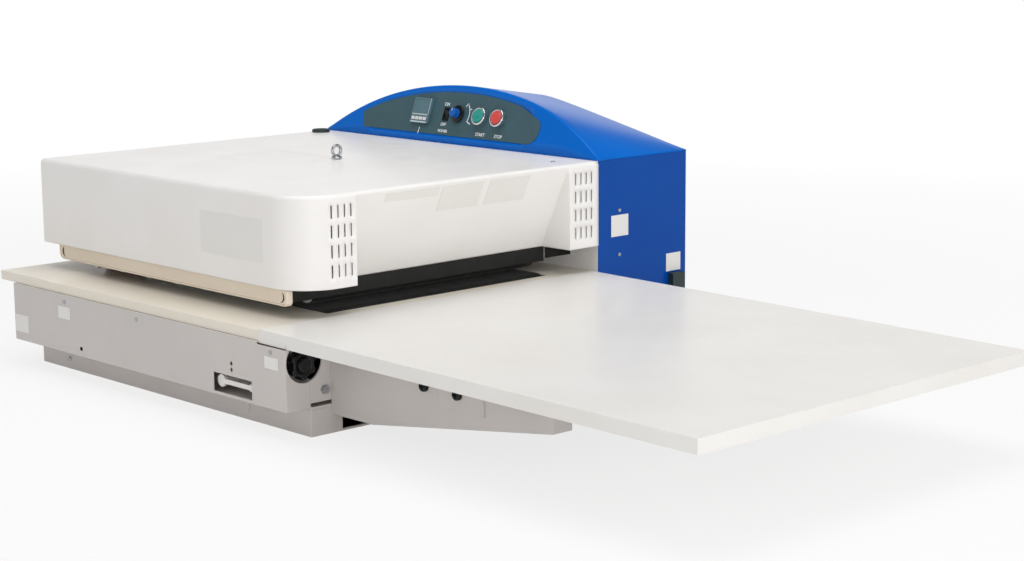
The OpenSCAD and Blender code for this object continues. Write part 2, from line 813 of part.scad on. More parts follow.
module tension_lever() {
    x = lever_at[0];
    z = lever_at[1];
    y0 = cover_y + 7;
    color([0.85, 0.84, 0.82]) union() {
        rod_y(x, z, 5, y0, low_front[1]);
        // hand arm with a rounded grip
        rod_y(x, z, 10, y0, y0 + 6);
        box([x, y0, z - 4], [x + lever_l, y0 + 6, z + 4]);
        rod_y(x + lever_l, z, 6, y0, y0 + 18);
        // crank and its pin, at the yoke
        rod_y(x, z, 9, low_front[0] - 18, low_front[0] - 12);
        box([x - 4, low_front[0] - 18, z], [x + 4, low_front[0] - 12, z + crank_r + 4]);
        rod_y(x, z + crank_r, 3, low_front[0] - 18, low_front[0] - 6.6);
    }
}

module scrapers() {
    blade_x = drive_x - drive_r - lap - 0.8;
    color([0.75, 0.76, 0.78]) {
        for (q = [[up_front[1], up_back[0], 184], [low_front[1], low_back[0], 134]]) {
            box([-318.5, q[0], q[2] - 4], [-313, q[1], q[2] + 4]);
            box([-313, -belt_w / 2, q[2] - 0.8], [blade_x, belt_w / 2, q[2] + 0.8]);
        }
    }
}

// ---- drive ----

module drive_motor() {
    y0 = gear_y + gear_w + 6;
    color([0.30, 0.32, 0.35]) difference() {
        union() {
            box([drive_x - 42, y0, deck_z + 4], [drive_x + 42, y0 + 50, pinion_z + 42]);
            rod_y(drive_x, pinion_z, 38, y0 + 50, col_back - 66);
            box([drive_x - 60, y0 - 4, deck_z], [drive_x + 60, y0 + 70, deck_z + 4]);
        }
        rod_y(drive_x, pinion_z, 6 + run, y0 - 1, y0 + 31);
    }
}

module motor_pinion() {
    color([0.6, 0.6, 0.62]) translate([drive_x, 0, pinion_z]) union() {
        slab_y(gear_y, gear_y + gear_w) polygon(gear_points(pinion_teeth, 90));
        rod_y(0, 0, 6, gear_y - 2, gear_y + gear_w + 36);
    }
}

// a gear with a bore that its shaft fills
module gear(r, phase) {
    translate([r[0], 0, r[1]]) difference() {
        slab_y(gear_y, gear_y + gear_w) polygon(gear_points(gear_teeth, phase));
        rod_y(0, 0, shaft_r, gear_y - 1, gear_y + gear_w + 1);
    }
}

module lower_gear() {
    color([0.62, 0.60, 0.55]) gear(lower_drive, 90 + 180 / gear_teeth);
}

module upper_gear() {
    color([0.62, 0.60, 0.55]) gear(upper_drive, 90);
}

// ---- small parts ----

module tracking_knob() {
    color([0.06, 0.06, 0.06]) union() {
        translate([base_x1 - 20, hand_y, hand_z]) rotate([90, 0, 90]) linear_extrude(20) union() {
            circle(r = hand_r - 5);
            for (a = [0:60:300]) rotate(a + 30) translate([hand_r - 6, 0]) circle(r = 6);
        }
        rod_x(hand_y, hand_z, 12, base_x1 - 30, base_x1 + 3);
        rod_x(hand_y, hand_z, 5, 340, base_x1 - 10);
    }
}

module top_fittings() {
    color([0.72, 0.73, 0.75]) union() {
        translate([9, 43, head_top + 13]) rotate([0, 90, 0])
            rotate_extrude() translate([9, 0]) circle(r = 2.6);
        translate([9, 43, head_top]) cylinder(r = 9, h = 3.5);
        translate([9, 43, rail_top + 20]) cylinder(r = 5, h = head_top - rail_top - 18);
        // round service plug in the far corner of the head's top
        translate([-345, 287, head_top]) cylinder(r = 17, h = 6);
    }
}

// a screw head: a low cylinder standing on a face
module head_y(x, y, z, r, h) {
    rod_y(x, z, r, y - h, y);
}

module cover_screws() {
    color([0.45, 0.45, 0.46]) {
        for (x = [-175, 40, 394]) head_y(x, cover_y, 131, 3.2, 1.8);
        head_y(-239, base_y0, 18, 3.8, 3);
        // hanging lock tongue
        box([269, base_y0 - 1.6, 12], [277, base_y0, 38]);
        // bolt on the right wall of the chassis
        rod_x(-325, 70, 7.5, base_x1, base_x1 + 5);
        for (z = [183, 260]) {
            rod_x(371, z, 3.2, half_l, half_l + 1.8);
            rod_x(371, z, 3.2, -half_l - 1.8, -half_l);
        }
        translate([322, 259, head_top]) cylinder(r = 4, h = 1.8);
        for (x = [-340, 340], z = [60, 330])
            rod_y(x, z, 3.2, col_back, col_back + 1.8);
    }
}

// blank plates where notices stand: [low corner, high corner]
module labels() {
    t = 0.6;
    color([0.88, 0.87, 0.84]) {
        box([114, -head_front - t, 241], [276, -head_front, 308]);
        box([half_l, 351, 215], [half_l + t, 393, 252]);
        box([half_l, 490, 138], [half_l + t, 527, 170]);
        box([-195, cover_y - t, 102], [-159, cover_y, 123]);
        box([379, cover_y - t, 106], [412, cover_y, 124]);
        box([-335, cover_y - t, 60], [-294, cover_y, 90]);
        on_slope() {
            for (q = [[-145, -35, 134, 150], [-28, 60, 104, 150], [74, 163, 104, 150]])
                translate([q[0], q[2], 0.02]) cube([q[1] - q[0], q[3] - q[2], t]);
        }
    }
}

plinth();
chassis();
base_front_cover();
work_table();
infeed_table();
infeed_brackets();
table_cross_channel();
bracket_screws();
column_frame();
column_front_panel();
column_skin_right();
column_skin_left();
column_rear_panel();
arch_cover();
control_plate();
temp_controller();
controller_window();
key_set();
key_shift();
key_down();
key_up();
rocker_frame();
power_rocker();
speed_pot();
speed_knob();
button_rings();
start_button();
stop_button();
control_board();
power_unit();
power_inlet();
side_terminal();
head_frame();
head_cover();
upper_rails();
roller_bearings();
upper_belt();
upper_drive_roller();
upper_infeed_roller();
upper_press_roller();
upper_heater();
entry_guide_bar();
infeed_guard();
lower_rails();
lower_belt();
lower_drive_roller();
lower_infeed_roller();
lower_press_roller();
lower_heater();
tension_carriage();
tension_lever();
scrapers();
drive_motor();
motor_pinion();
lower_gear();
upper_gear();
tracking_knob();
top_fittings();
cover_screws();
labels();
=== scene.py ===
import json
import math
import bmesh
import bpy
import numpy as np
from mathutils import Matrix, Vector

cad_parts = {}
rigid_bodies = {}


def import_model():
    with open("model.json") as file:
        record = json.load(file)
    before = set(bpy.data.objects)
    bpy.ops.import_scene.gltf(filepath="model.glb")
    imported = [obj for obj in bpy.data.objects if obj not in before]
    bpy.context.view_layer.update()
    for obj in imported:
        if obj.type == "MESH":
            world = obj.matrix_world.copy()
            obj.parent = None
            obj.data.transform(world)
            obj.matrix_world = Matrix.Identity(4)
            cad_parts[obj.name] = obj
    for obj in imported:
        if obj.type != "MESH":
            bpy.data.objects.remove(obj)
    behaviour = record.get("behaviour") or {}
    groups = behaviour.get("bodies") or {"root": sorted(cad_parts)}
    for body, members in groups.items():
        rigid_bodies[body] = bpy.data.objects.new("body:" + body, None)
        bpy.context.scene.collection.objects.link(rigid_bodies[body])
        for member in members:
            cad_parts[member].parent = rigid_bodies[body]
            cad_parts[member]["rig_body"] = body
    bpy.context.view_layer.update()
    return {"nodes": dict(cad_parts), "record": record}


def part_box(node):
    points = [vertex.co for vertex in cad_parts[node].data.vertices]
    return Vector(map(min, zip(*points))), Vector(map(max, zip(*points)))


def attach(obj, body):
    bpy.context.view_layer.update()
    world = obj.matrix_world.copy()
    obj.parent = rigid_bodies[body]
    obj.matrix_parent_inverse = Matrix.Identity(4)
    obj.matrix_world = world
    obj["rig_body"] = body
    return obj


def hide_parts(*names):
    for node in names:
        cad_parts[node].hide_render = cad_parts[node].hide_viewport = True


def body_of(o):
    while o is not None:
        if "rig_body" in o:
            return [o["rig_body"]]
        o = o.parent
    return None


# Desktop belt heat press, in metres. +X is the infeed, +Y the column, +Z up.
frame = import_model()
nodes = frame["nodes"]
mm = 0.001
print("frame loaded:", len(nodes), "nodes")


# ---- camera ----

viewpoint = {
    "place": (2.8581, -2.2220, 0.7838),
    "yaw": 46.77,  # turned left of +Y, degrees
    "pitch": 10.19,  # looking down
    "roll": -0.44,
    "lens": 74.22,
}


def addCamera(spec):
    yaw, pitch, roll = (math.radians(spec[k]) for k in ("yaw", "pitch", "roll"))
    right = Vector((math.cos(yaw), math.sin(yaw), 0))
    forward = Vector((-math.sin(yaw) * math.cos(pitch), math.cos(yaw) * math.cos(pitch), -math.sin(pitch)))
    up = right.cross(forward)
    across = right * math.cos(roll) + up * math.sin(roll)
    rise = up * math.cos(roll) - right * math.sin(roll)
    data = bpy.data.cameras.new("camera")
    data.lens = spec["lens"]
    data.sensor_width = 36
    data.clip_end = 60
    camera = bpy.data.objects.new("camera", data)
    turn = Matrix((across, rise, -forward)).transposed().to_4x4()
    camera.matrix_world = Matrix.Translation(spec["place"]) @ turn
    bpy.context.scene.collection.objects.link(camera)
    bpy.context.scene.camera = camera


addCamera(viewpoint)
bpy.context.scene.view_settings.view_transform = "Standard"


# ---- materials ----


def colour(code):
    # sRGB hex to linear: the standard curve, a straight toe and a 2.4 power
    parts = [int(code[i:i + 2], 16) / 255 for i in (1, 3, 5)]
    return tuple(c / 12.92 if c <= 0.04045 else ((c + 0.055) / 1.055) ** 2.4 for c in parts) + (1,)


def add(tree, kind, settings=None, links=None):
    # settings name an attribute of the node or one of its sockets; links name a socket and its source
    made = tree.nodes.new(kind)
    for key, value in (settings or {}).items():
        if isinstance(key, str) and hasattr(made, key):
            setattr(made, key, value)
        else:
            made.inputs[key].default_value = value
    for key, source in (links or {}).items():
        tree.links.new(source, made.inputs[key])
    return made


def startFinish(name, base, roughness, **sockets):
    # a shader with its plain values on its own sockets, and the object's coordinates in metres
    made = bpy.data.materials.new(name)
    made.use_nodes = True
    tree = made.node_tree
    shader = tree.nodes["Principled BSDF"]
    shader.inputs["Base Color"].default_value = colour(base)
    shader.inputs["Roughness"].default_value = roughness
    for key, value in sockets.items():
        shader.inputs[key.replace("_", " ")].default_value = value
    place = add(tree, "ShaderNodeTexCoord").outputs["Object"]
    return made, tree, shader, place


def noise(tree, place, size, detail=3.0, stretch=None):
    # noise whose features are about size mm across; stretch multiplies them along X, Y and Z
    if stretch:
        place = add(tree, "ShaderNodeMapping", {"Scale": tuple(1 / s for s in stretch)},
                    {"Vector": place}).outputs[0]
    return add(tree, "ShaderNodeTexNoise", {"Scale": 1 / (size * mm), "Detail": detail},
               {"Vector": place}).outputs["Fac"]


def spread(tree, source, low, high, start=0.3, stop=0.7):
    return add(tree, "ShaderNodeMapRange", {"From Min": start, "From Max": stop, "To Min": low, "To Max": high},
               {"Value": source}).outputs[0]


def tint(tree, shader, source, first, second):
    mix = add(tree, "ShaderNodeMix", {"data_type": "RGBA", 6: colour(first), 7: colour(second)}, {0: source})
    tree.links.new(mix.outputs[2], shader.inputs["Base Color"])
    return mix


def relief(tree, shader, source, height, strength=1.0):
    bump = add(tree, "ShaderNodeBump", {"Distance": height * mm, "Strength": strength}, {"Height": source})
    tree.links.new(bump.outputs[0], shader.inputs["Normal"])
    return bump


def stoved(name, base, shade, roughness, coat, peel=0.05, grain=2.4):
    # stoved powder coat on sheet steel: orange peel, a little uneven gloss, thin clean patches
    made, tree, shader, place = startFinish(name, base, roughness, Coat_Weight=coat, Coat_Roughness=0.12)
    tint(tree, shader, spread(tree, noise(tree, place, 160, 4), 0, 1, 0.35, 0.65), base, shade)
    tree.links.new(spread(tree, noise(tree, place, 34, 4), roughness - 0.05, roughness + 0.07),
                   shader.inputs["Roughness"])
    relief(tree, shader, noise(tree, place, grain, 2), peel)
    return made


def gloss(name, base, shade, roughness):
    # wet-sprayed gloss enamel: deep even colour under a clear coat, faint waves
    made, tree, shader, place = startFinish(name, base, roughness, Coat_Weight=0.12, Coat_Roughness=0.08,
                                            Specular_IOR_Level=0.08)
    tint(tree, shader, spread(tree, noise(tree, place, 120, 3), 0, 1), base, shade)
    relief(tree, shader, noise(tree, place, 5, 2), 0.03)
    return made


def moulded(name, base, shade, roughness, texture=0.05, size=0.9):
    # moulded ABS: fine spark-eroded texture, slightly uneven sheen
    made, tree, shader, place = startFinish(name, base, roughness, Specular_IOR_Level=0.32)
    tint(tree, shader, spread(tree, noise(tree, place, 25, 3), 0, 1), base, shade)
    tree.links.new(spread(tree, noise(tree, place, 12, 3), roughness - 0.06, roughness + 0.08),
                   shader.inputs["Roughness"])
    relief(tree, shader, noise(tree, place, size, 2), texture)
    return made


def brushed(name, base, shade, roughness, stretch, depth=0.01):
    # ground or drawn metal: long fine streaks along the working direction
    made, tree, shader, place = startFinish(name, base, roughness, Metallic=1.0)
    streak = noise(tree, place, 0.8, 4, stretch)
    tint(tree, shader, spread(tree, streak, 0, 1), base, shade)
    tree.links.new(spread(tree, streak, roughness - 0.08, roughness + 0.12), shader.inputs["Roughness"])
    relief(tree, shader, streak, depth)
    return made


def wovenCloth(name, base, shade, thread):
    # glass cloth coated with black PTFE: a plain weave just visible under a waxy film
    made, tree, shader, place = startFinish(name, base, 0.42, IOR=1.38, Sheen_Weight=0.08)
    waves = []
    for axis in ("X", "Y"):
        wave = add(tree, "ShaderNodeTexWave", {"bands_direction": axis, "wave_profile": "SIN",
                                               "Scale": 0.314 / (thread * mm)}, {"Vector": place})
        waves.append(wave.outputs["Fac"])
    weave = add(tree, "ShaderNodeMath", {"operation": "MULTIPLY"}, {0: waves[0], 1: waves[1]}).outputs[0]
    tint(tree, shader, spread(tree, noise(tree, place, 60, 4), 0, 1), base, shade)
    tree.links.new(spread(tree, noise(tree, place, 40, 4), 0.36, 0.55), shader.inputs["Roughness"])
    relief(tree, shader, weave, 0.12)
    return made


def rubber(name, base, shade):
    # silicone rubber: soft dull skin with dust in it
    made, tree, shader, place = startFinish(name, base, 0.6, IOR=1.41, Sheen_Weight=0.1)
    tint(tree, shader, spread(tree, noise(tree, place, 18, 5), 0, 1), base, shade)
    relief(tree, shader, noise(tree, place, 1.2, 3), 0.05)
    return made


def printed(name, base, shade, roughness=0.45):
    # screen ink: flat, very slightly uneven at its edges
    made, tree, shader, place = startFinish(name, base, roughness)
    tint(tree, shader, spread(tree, noise(tree, place, 0.6, 2), 0, 1), base, shade)
    relief(tree, shader, noise(tree, place, 0.5, 2), 0.01)
    return made


finishes = {
    "white_paint": stoved("whitePowderCoat", "#F3F1EF", "#F0EDEA", 0.38, 0.12),
    "grey_paint": stoved("greyPowderCoat", "#D0CAC6", "#CCC6C2", 0.45, 0.08, 0.07),
    "beige_paint": stoved("creamPowderCoat", "#EFE2D0", "#EADCC8", 0.42, 0.1),
    "blue_paint": gloss("blueEnamel", "#0068CA", "#0064C4", 0.3),
    "frame_paint": stoved("frameGreyPaint", "#8E949B", "#868C92", 0.5, 0.0, 0.1),
    "panel_film": moulded("polyesterOverlay", "#3F5C65", "#3C5861", 0.5, 0.02, 0.5),
    "black_plastic": moulded("blackAbs", "#0C0C0B", "#121211", 0.45),
    "dark_plastic": moulded("darkGreyAbs", "#2C3A38", "#273432", 0.4),
    "key_plastic": moulded("lightKeyAbs", "#DADEDD", "#D2D6D6", 0.4),
    "window": moulded("smokedAcrylic", "#5B7A84", "#57757F", 0.12, 0.003, 3),
    "steel": brushed("groundSteel", "#B9BCC0", "#A9ACB0", 0.3, (1, 40, 1)),
    "chrome": brushed("satinChrome", "#E6E8EA", "#DDE0E2", 0.14, (30, 1, 1), 0.002),
    "aluminium": brushed("milledAluminium", "#C9CBCD", "#BDBFC2", 0.38, (1, 1, 30)),
    "belt_cloth": wovenCloth("ptfeGlassCloth", "#10100E", "#161613", 1.6),
    "silicone": rubber("siliconeRubber", "#8E3B2A", "#7F3426"),
    "green_button": moulded("greenButtonCap", "#2F9C92", "#2A948A", 0.3, 0.01),
    "red_button": moulded("redButtonCap", "#DC5450", "#D04A47", 0.3, 0.01),
    "blue_knob": moulded("blueKnobCap", "#0A5CB4", "#0856AA", 0.32),
    "board": stoved("greenSolderMask", "#1E6B45", "#1A6040", 0.35, 0.3, 0.03),
    "blank_label": printed("blankPolyesterLabel", "#EBE9E5", "#E8E6E2", 0.36),
    "gear_steel": brushed("hobbedSteel", "#A6A7A9", "#96979A", 0.36, (1, 20, 1)),
}
# the work table is tinted warmer than the infeed table: a painted reflection of the cream rails over the table's own
# off-white
workTopRailReflection = stoved("workTableEnamelPaintedReflection", "#EDE6D9", "#EAE2D3", 0.36, 0.1, 0.03)
infeedTop = stoved("infeedTableEnamel", "#EBE9E5", "#E8E5E0", 0.36, 0.1, 0.03)
# the arch's blue enamel made a deeper blue for the column's side and rear skins, which face away from the light:
# painted shade
skinBluePaintedShade = gloss("columnBlueEnamelPaintedShade", "#004BA4", "#00479F", 0.34)
controllerAbs = moulded("controllerAbs", "#587580", "#54707B", 0.38)
whiteInk = printed("whiteScreenInk", "#F2F5F5", "#ECEFEF")
# near-black colour for the strips in the rail's curved grooves: painted shade, not a cut groove
grooveShadowPaint = moulded("paintedGrooveShadow", "#1B1A18", "#23211F", 0.7)
knobBlack = moulded("blackKnobAbs", "#0D0E0E", "#131414", 0.3)
# light grey for the printed key-row bands, also used for the display's painted edge highlight
keyPrintAndEdgeHighlight = moulded("keyRowPrintAndEdgeHighlight", "#C3CFD2", "#BCC9CC", 0.4)
print("finishes made:", len(finishes))


# ---- making pieces ----

def bodyUnder(node):
    return body_of(nodes[node])[0]


nodeSlots = {part["node"]: part["material_slot"] for part in frame["record"]["subparts"]}


def settle(piece, body, material, stands=()):
    piece.data.materials.clear()
    for one in material if isinstance(material, (list, tuple)) else [material]:
        piece.data.materials.append(one)
    if piece.name not in bpy.context.scene.collection.objects:
        bpy.context.scene.collection.objects.link(piece)
    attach(piece, body)
    if stands:
        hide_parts(*stands)
    return piece


def smooth(mesh, angle):
    mesh.shade_smooth()
    mesh.set_sharp_from_angle(angle=math.radians(angle))


def gridPiece(name, points, body, slotName, material=None, stands=(), around=False, skip=None, angle=35,
              closeEnds=False, tidy=True, flip=False):
    # points is rows x columns x 3, in metres; each cell of the grid becomes a face, except where skip is true.
    # around joins the last column to the first
    points = np.asarray(points, float)
    rows, cols = points.shape[:2]
    index = np.arange(rows * cols).reshape(rows, cols)
    if around:
        index = np.hstack([index, index[:, :1]])
    quads = np.stack([index[:-1, :-1], index[:-1, 1:], index[1:, 1:], index[1:, :-1]], -1)
    keep = np.ones(quads.shape[:2], bool) if skip is None else ~skip
    faces = quads[keep].tolist()
    if closeEnds:
        faces += [index[0, :cols].tolist(), index[-1, :cols][::-1].tolist()]
    mesh = bpy.data.meshes.new(name)
    mesh.from_pydata(points.reshape(-1, 3).tolist(), [], faces)
    if tidy:
        work = bmesh.new()
        work.from_mesh(mesh)
        bmesh.ops.remove_doubles(work, verts=work.verts, dist=1e-6)
        bmesh.ops.recalc_face_normals(work, faces=work.faces)
        if flip:
            bmesh.ops.reverse_faces(work, faces=work.faces)
        work.to_mesh(mesh)
        work.free()
    smooth(mesh, angle)
    piece = bpy.data.objects.new(name, mesh)
    return settle(piece, body, material or finishes[slotName], stands)


def shell(piece, thickness):
    # a wall grown inward from an outer surface
    wall = piece.modifiers.new("wall", "SOLIDIFY")
    wall.thickness = thickness * mm
    wall.offset = -1
    wall.use_even_offset = True
    return piece


def outerRim(work, node, share):
    # full bevel weight on the upper and upright edges of the node's outline, a share of it elsewhere
    low, high = (np.array(c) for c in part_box(node))
    weight = work.edges.layers.float.new("bevel_weight_edge")
    for edge in work.edges:
        ends = np.array([v.co for v in edge.verts])
        sides = [(np.abs(ends[:, i] - bound[i]) < 0.0007).all() for bound in (low, high) for i in (0, 1)]
        up = [abs(f.normal.z) > 0.9 and f.normal.z > 0 for f in edge.link_faces]
        upright = abs(ends[0, 2] - ends[1, 2]) > 0.01
        edge[weight] = 1.0 if (sum(sides) == 1 and any(up) and not all(up)) or (upright and sum(sides) == 2) else share


def soften(node, name, width, segments=2, angle=32, material=None, rim=None):
    # the CAD node's own sheet metal with its doubles merged and its edges rolled to width mm, or to rim mm
    # along its upper outline
    source = nodes[node]
    mesh = source.data.copy()
    mesh.name = name
    work = bmesh.new()
    work.from_mesh(mesh)
    bmesh.ops.remove_doubles(work, verts=work.verts, dist=2e-6)
    bmesh.ops.dissolve_limit(work, angle_limit=math.radians(0.6), verts=work.verts, edges=work.edges,
                             delimit={"NORMAL"})
    if rim:
        work.normal_update()
        sharp = [e for e in work.edges if len(e.link_faces) == 2 and e.calc_face_angle(0) > math.radians(angle)]
        outerRim(work, node, width / rim)
        weight = work.edges.layers.float["bevel_weight_edge"]
        for e in set(work.edges) - set(sharp):
            e[weight] = 0
    work.to_mesh(mesh)
    work.free()
    smooth(mesh, angle)
    piece = bpy.data.objects.new(name, mesh)
    settle(piece, bodyUnder(node), material or finishes[nodeSlots[node]], (node,))
    edge = piece.modifiers.new("edge", "BEVEL")
    edge.width = (rim or width) * mm
    edge.segments = segments
    edge.limit_method = "WEIGHT" if rim else "ANGLE"
    edge.angle_limit = math.radians(angle)
    edge.use_clamp_overlap = False
    edge.harden_normals = True
    return piece


def turned(profile, steps=48):
    # a profile of (radius, height) carried round its axis: rows along the profile, columns round it, in mm
    profile = np.asarray(profile, float)
    turn = np.linspace(0, 2 * np.pi, steps, endpoint=False)
    ring = np.stack([np.cos(turn), np.sin(turn)], -1)
    flat = profile[:, :1, None] * ring[None]
    rise = np.broadcast_to(profile[:, 1:, None], flat.shape[:2] + (1,))
    return np.concatenate([flat, rise], -1)


def rounded(low, high, radius, height, n=5):
    # a quarter turn of an edge in a profile, out to (high); low is not used
    a = np.linspace(0, np.pi / 2, n)
    return [(high - radius + radius * math.cos(t), height - radius + radius * math.sin(t)) for t in a]


lean = math.radians(20)
faceAxes = np.array([[1, 0, 0], [0, math.sin(lean), math.cos(lean)], [0, -math.cos(lean), math.sin(lean)]])
faceOrigin = np.array([0, 320, 349])


def onFace(points):
    # points in mm (across, up the leaning face, outward) to metres in the frame
    return (faceOrigin + np.asarray(points, float) @ faceAxes) * mm


def across(points, axis, origin):
    # points in mm about a local Z axis, turned so that Z becomes the named axis, and moved to origin
    p = np.asarray(points, float)
    order = {"x": (2, 0, 1), "y": (1, 2, 0), "z": (0, 1, 2)}[axis.strip("-")]
    if axis.startswith("-"):
        p = p * [1, -1, -1]
    return (p[..., order] + np.asarray(origin, float)) * mm


def tubeAlong(path, radius, steps=16):
    # rings carried along a path; each ring stands square to the path's local direction
    path = np.asarray(path, float)
    ahead = np.gradient(path, axis=0)
    ahead /= np.linalg.norm(ahead, axis=1, keepdims=True)
    side = np.cross(ahead, [1.0, 0.03, 0.02])
    side /= np.linalg.norm(side, axis=1, keepdims=True)
    rise = np.cross(ahead, side)
    a = np.linspace(0, 2 * np.pi, steps, endpoint=False)[None, :, None]
    r = np.broadcast_to(np.asarray(radius, float), (len(path),))[:, None, None]
    return path[:, None] + r * (np.cos(a) * side[:, None] + np.sin(a) * rise[:, None])


def step(x, low, high):
    # a smooth rise from 0 at low to 1 at high
    t = np.clip((x - low) / (high - low), 0, 1)
    return t * t * (3 - 2 * t)


# ---- head cover ----

head = {
    "halfLength": 370, "front": -318, "back": 320, "bottom": 204, "top": 349,
    "bigCorner": 74, "smallCorner": 12, "rim": 7, "lip": 4, "inset": 66, "recess": (-207, 250),
    "slotY": (-256, 266), "slotPitch": 12.5, "slotHalf": 1.4, "slotLow": 221, "slotHigh": 241, "slotRise": 30.6,
    "wall": 2, "rings": 62, "pressDepth": 1.5,
}


def headOutline(spec):
    # plan of the head, anticlockwise from the right rear corner round the front: x, y and outward normal
    half, front, back = spec["halfLength"], spec["front"], spec["back"]
    big, small = spec["bigCorner"], spec["smallCorner"]
    edges = [y + spec["slotPitch"] * i + s * spec["slotHalf"] for y in spec["slotY"] for i in range(4)
             for s in (-1, 1)]
    steps = [y + d for y in spec["recess"] for d in (-1.6, -0.8, 0, 0.8, 1.6)]
    fill = np.arange(front + big + 6, back - 2, 11.0)
    marks = np.array(edges + steps)
    fill = fill[np.abs(fill[:, None] - marks[None]).min(1) > 2.5]
    straight = np.unique(np.concatenate([marks[marks > front + big], fill, [back, front + big]]))[::-1]
    onArc = marks[marks < front + big]
    extra = -np.arcsin((front + big - onArc) / big)
    plain = np.linspace(0, -np.pi / 2, 26)[1:]
    plain = plain[np.abs(plain[:, None] - extra[None]).min(1) > 0.02]
    turn = np.sort(np.concatenate([plain, extra]))[::-1]
    rightX = np.concatenate([np.full(len(straight), half), half - big + big * np.cos(turn)])
    rightY = np.concatenate([straight, front + big + big * np.sin(turn)])
    rightN = np.concatenate([np.tile([1, 0], (len(straight), 1)), np.stack([np.cos(turn), np.sin(turn)], -1)])
    frontX = np.arange(half - big - 10, -half + small + 4, -11.0)
    turn = np.linspace(-np.pi / 2, -np.pi, 9)
    leftY = np.unique(np.concatenate([np.array(steps), np.arange(front + small + 8, back - 2, 11.0), [back]]))
    leftY = leftY[np.concatenate([[True], np.diff(leftY) > 0.5])]
    rearX = np.arange(-half + 12, half - 4, 12.0)
    x = np.concatenate([rightX, frontX, -half + small + small * np.cos(turn), np.full(len(leftY), -half), rearX])
    y = np.concatenate([rightY, np.full(len(frontX), front), front + small + small * np.sin(turn), leftY,
                        np.full(len(rearX), back)])
    normal = np.concatenate([rightN, np.tile([0, -1], (len(frontX), 1)),
                             np.stack([np.cos(turn), np.sin(turn)], -1), np.tile([-1, 0], (len(leftY), 1)),
                             np.tile([0, 0], (len(rearX), 1))])
    rear = np.arange(len(x)) >= len(x) - len(rearX) - 1
    return x, y, normal, rear


def makeHeadCover(spec):
    # wall: the outline at each height, moved in by the rim's quarter circle and by the sloping recess;
    # top: the rim's outline shrunk towards the middle, with a faint pressed square
    x, y, normal, rear = headOutline(spec)
    low, top, rim = spec["bottom"], spec["top"], spec["rim"]
    slots = [spec["slotLow"] + spec["slotRise"] * k + d for k in range(4) for d in (0, 0.9, 19.1, 20)]
    fill = np.array([low, 206, 212, 246.5, 277, 307.5, 338])
    z = np.unique(np.concatenate([slots, fill, [top - rim]]))
    arc = np.linspace(0, np.pi / 2, 8)[1:]
    rows = np.concatenate([z, top - rim + rim * np.sin(arc)])
    inward = np.concatenate([np.zeros(len(z)), rim * (1 - np.cos(arc))])
    px = x[None] - normal[None, :, 0] * inward[:, None]
    py = y[None] - normal[None, :, 1] * inward[:, None]
    pz = np.broadcast_to(rows[:, None], px.shape).copy()
    start, stop = spec["recess"]
    within = step(y, start - 1.6, start + 1.6) * (1 - step(y, stop - 1.6, stop + 1.6)) * (np.abs(normal[:, 0]) > 0.9)
    depth = spec["inset"] * np.clip((top - spec["lip"] - rows) / (top - spec["lip"] - low), 0, 1)
    px = px - np.sign(x)[None] * depth[:, None] * within[None]
    # slot ends drawn in, so that each slot is rounded
    rings = spec["rings"]
    skip = np.zeros((len(rows) + rings - 1, len(x)), bool)
    isRight = (x > 0) & (normal[:, 0] > 0.9)
    for first in spec["slotY"]:
        for i in range(4):
            middle = first + spec["slotPitch"] * i
            cols = np.where(isRight & (np.abs(np.abs(y - middle) - spec["slotHalf"]) < 0.01))[0]
            for k in range(4):
                base = spec["slotLow"] + spec["slotRise"] * k
                ends = np.where((np.abs(rows - base) < 0.01) | (np.abs(rows - base - 20) < 0.01))[0]
                for c in cols:
                    py[ends, c] = middle + np.sign(y[c] - middle) * 0.6
                skip[ends[0]:ends[1], cols.min():cols.max()] = True
    skip[:len(rows) - 1] |= rear[None]
    # the top, ring by ring
    shrink = np.linspace(1, 0, rings + 1)[1:-1]
    cx, cy = 0.0, 1.0
    ringX = cx + (px[-1] - cx)[None] * shrink[:, None]
    ringY = cy + (py[-1] - cy)[None] * shrink[:, None]
    edge = np.maximum(np.abs(ringX + 66) - 94 + 18, 0) ** 2 + np.maximum(np.abs(ringY + 22) - 70 + 18, 0) ** 2
    ringZ = top - spec["pressDepth"] * (1 - step(np.sqrt(edge), 14, 22))
    grid = np.stack([np.vstack([px, ringX]), np.vstack([py, ringY]), np.vstack([pz, ringZ])], -1)
    grid = np.concatenate([grid, np.broadcast_to([cx, cy, top], (1, len(x), 3))])
    skip = skip[:len(grid) - 1]
    piece = gridPiece("headCover", grid * mm, "machine", "white_paint", stands=("head_cover",), around=True,
                      skip=skip, angle=40)
    return shell(piece, spec["wall"])


makeHeadCover(head)
print("head cover made")


# ---- arch cover ----

arch = {"height": 111, "backHeight": 76, "back": 541, "rim": 5, "wall": 2.5, "opening": (-238, 178)}


def archUp(x):
    # height up the leaning face: a flat parabola with a fourth-power term
    q = x / 370
    return arch["height"] * (1 - 0.745 * q ** 2 - 0.24 * q ** 4)


def archBack(x):
    # two straight flanks joined by a rounded top: a hyperbola
    peak = arch["backHeight"] + 8
    return peak - np.sqrt((peak / 370 * x * 0.98) ** 2 + 64)


